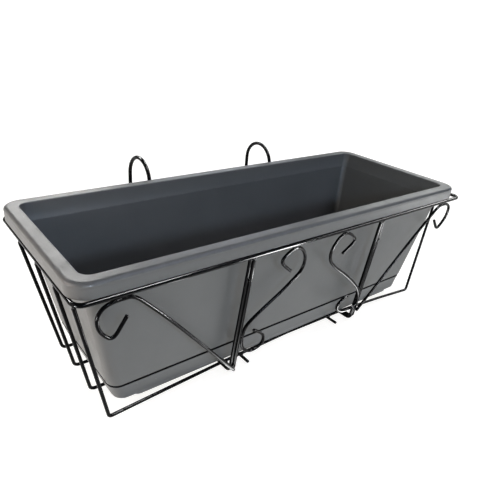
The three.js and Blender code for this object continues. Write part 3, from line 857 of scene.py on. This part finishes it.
def card(name, corners, colour, glow):
    mesh = bpy.data.meshes.new(name)
    mesh.from_pydata(corners, [], [tuple(range(len(corners)))])
    obj = bpy.data.objects.new(name, mesh)
    scene.collection.objects.link(obj)
    mat = bpy.data.materials.new(name)
    mat.use_nodes = True
    s = mat.node_tree.nodes["Principled BSDF"]
    s.inputs["Base Color"].default_value = (*colour, 1)
    s.inputs["Roughness"].default_value = 0.9
    s.inputs["Specular IOR Level"].default_value = 0.1
    s.inputs["Emission Color"].default_value = (1.0, 0.988, 0.962, 1)
    s.inputs["Emission Strength"].default_value = glow
    obj.data.materials.append(mat)
    return obj


floor = card("floor", [(12 * math.cos(t * math.pi / 24), 12 * math.sin(t * math.pi / 24), 0) for t in range(48)],
             (0.38, 0.38, 0.38), 0.8)
# the studio's far left front corner is dimmer than the rest
tree = floor.active_material.node_tree
where = tree.nodes.new("ShaderNodeVectorMath")
where.operation = "DOT_PRODUCT"
where.inputs[1].default_value = (0.9, 0.43, 0.0)
tree.links.new(tree.nodes.new("ShaderNodeNewGeometry").outputs["Position"], where.inputs[0])
fade = tree.nodes.new("ShaderNodeMapRange")
fade.interpolation_type = "SMOOTHSTEP"
for key, value in (("From Min", -1.1), ("From Max", -0.15), ("To Min", 0.38), ("To Max", 0.90)):
    fade.inputs[key].default_value = value
tree.links.new(where.outputs["Value"], fade.inputs["Value"])
far = tree.nodes.new("ShaderNodeVectorMath")
far.operation = "LENGTH"
tree.links.new(where.inputs[0].links[0].from_socket, far.inputs[0])
rise = tree.nodes.new("ShaderNodeMapRange")
for key, value in (("From Min", 1.1), ("From Max", 3.2), ("To Min", 0.0), ("To Max", 1.0)):
    rise.inputs[key].default_value = value
tree.links.new(far.outputs["Value"], rise.inputs["Value"])
both = tree.nodes.new("ShaderNodeMix")
tree.links.new(rise.outputs["Result"], both.inputs[0])
tree.links.new(fade.outputs["Result"], both.inputs[2])
both.inputs[3].default_value = 1.05
tree.links.new(both.outputs[0], tree.nodes["Principled BSDF"].inputs["Emission Strength"])
for k in range(24):
    t, u = 2 * math.pi * k / 24, 2 * math.pi * (k + 1) / 24
    p, q = (11.9 * math.cos(t), 11.9 * math.sin(t)), (11.9 * math.cos(u), 11.9 * math.sin(u))
    card(f"backdrop_{k}", [(*q, -0.1), (*p, -0.1), (*p, 0.9), (*q, 0.9)], (0.38, 0.38, 0.38), 1.15)
    # above the backdrop a pale wall that is only looked at: it lights nothing
    wall = card(f"pale_wall_{k}", [(*q, 0.9), (*p, 0.9), (0.02 * p[0], 0.02 * p[1], 14.0), (0.02 * q[0], 0.02 * q[1], 14.0)],
                (0.38, 0.38, 0.38), 1.15)
    wall.visible_diffuse = wall.visible_glossy = wall.visible_shadow = False

world = bpy.data.worlds.new("studio")
scene.world = world
world.use_nodes = True
world.node_tree.nodes["Background"].inputs["Color"].default_value = (0.80, 0.90, 1.0, 1)
world.node_tree.nodes["Background"].inputs["Strength"].default_value = 0.02


def aim(obj, place, target):
    place, target = Vector(place), Vector(target)
    obj.matrix_world = Matrix.Translation(place) @ (target - place).to_track_quat("-Z", "Y").to_matrix().to_4x4()


def sun(name, towards, strength, angle, colour=(1, 1, 1)):
    light = bpy.data.lights.new(name, "SUN")
    light.energy, light.angle, light.color = strength, math.radians(angle), colour
    obj = bpy.data.objects.new(name, light)
    scene.collection.objects.link(obj)
    aim(obj, Vector(towards) * -2, (0, 0, 0))
    return obj


def area(name, place, target, size, power, colour=(1, 1, 1), only=None):
    light = bpy.data.lights.new(name, "AREA")
    light.shape = "RECTANGLE"
    light.size, light.size_y = size
    light.energy, light.color = power, colour
    obj = bpy.data.objects.new(name, light)
    scene.collection.objects.link(obj)
    aim(obj, place, target)
    obj.visible_camera = False
    if only:
        obj.visible_diffuse = False
        obj.light_linking.receiver_collection = only
    return obj


sun("overhead", (-0.5, 0.35, -1.0), 0.801, 30, (0.791, 0.820, 1.000))
area("window", (-0.35, -1.75, 0.88), (0.0, 0.0, 0.12), (0.36, 0.20), 8.1, (0.60, 0.745, 1.0))
area("back_mid", (1.2, 1.7, 1.0), (0.0, -0.05, 0.16), (0.8, 0.5), 5.0, (0.90, 0.93, 1.0))
glint = area("window_glint", (-0.42, -1.75, 0.88), (0.0, 0.0, 0.12), (0.16, 0.20), 16.0, (0.78, 0.88, 1.0))
glint.visible_diffuse = False
area("back_right", (1.95, 0.70, 0.98), (0.1, -0.05, 0.16), (1.2, 0.5), 9.0, (0.98, 1.0, 0.98))
area("back_left", (0.25, 1.9, 1.15), (-0.2, -0.05, 0.16), (0.8, 0.5), 13.5, (1.0, 0.985, 0.96))
area("left_lamp", (-0.56, -0.02, 0.29), (-0.25, -0.03, 0.14), (0.30, 0.16), 0.86, (1.0, 0.93, 0.90))
area("left_low", (-0.9, 0.05, 0.09), (-0.2, 0.0, 0.07), (0.7, 0.14), 0.9, (1.0, 0.60, 0.45))

# small bright sources that only the lacquered wires mirror
lacquered = bpy.data.collections.new("lacquered")
for obj in bpy.data.objects:
    if obj.type == "MESH" and obj.active_material in (wire_finish, weld_finish):
        lacquered.objects.link(obj)
area("softbox_above", (0.7, -0.3, 2.0), (0.0, -0.05, 0.10), (2.6, 0.26), 800.0, only=lacquered)
area("softbox_right", (1.7, -0.8, 1.15), (0.0, -0.05, 0.10), (1.2, 0.18), 60.0, only=lacquered)
area("softbox_back_left", (-0.6, 1.5, 1.6), (0.0, 0.0, 0.10), (0.5, 0.5), 220.0, only=lacquered)


def floor_strip(name, a, b, width, power, only=lacquered):
    """A strip of light lying on the floor from a to b, shining up."""
    obj = area(name, ((a[0] + b[0]) / 2, (a[1] + b[1]) / 2, 0.004), (0, 0, 1), (1, 1), power, only=only)
    obj.data.size, obj.data.size_y = math.hypot(b[0] - a[0], b[1] - a[1]), width
    turn = math.atan2(b[1] - a[1], b[0] - a[0])
    obj.matrix_world = Matrix.Translation(obj.matrix_world.translation) @ Matrix.Rotation(turn, 4, "Z") \
        @ Matrix.Rotation(math.pi, 4, "X")
    return obj


floor_strip("strip_left", (-0.5, -0.2), (-1.2, -0.4), 0.09, 62.0)
floor_strip("strip_right", (0.1, -0.3), (0.7, -1.0), 0.09, 85.0)
floor_strip("strip_left_strut", (-0.093, -0.112), (-0.168, -0.405), 0.022, 0.42)
floor_strip("strip_right_strut", (0.092, -0.112), (-0.04, -0.385), 0.022, 0.65)
glow_right = floor_strip("glow_right", (0.45, -0.36), (0.80, -0.50), 0.26, 1.3, only=None)
glow_right.visible_diffuse = False

cam = bpy.data.cameras.new("photo_camera")
cam.lens, cam.sensor_width, cam.sensor_fit = 37.083, 36.0, "HORIZONTAL"
camera = bpy.data.objects.new("photo_camera", cam)
scene.collection.objects.link(camera)
yaw, pitch, roll = 0.687917, 0.434957, 0.080340
fwd = np.array([math.sin(yaw) * math.cos(pitch), math.cos(yaw) * math.cos(pitch), -math.sin(pitch)])
right0 = np.array([math.cos(yaw), -math.sin(yaw), 0.0])
up0 = np.cross(right0, fwd)
right = right0 * math.cos(roll) + up0 * math.sin(roll)
up = -right0 * math.sin(roll) + up0 * math.cos(roll)
m = Matrix.Identity(4)
for i in range(3):
    m[i][0], m[i][1], m[i][2] = right[i], up[i], -fwd[i]
m[0][3], m[1][3], m[2][3] = -0.353737, -0.420185, 0.342825
camera.matrix_world = m
scene.camera = camera
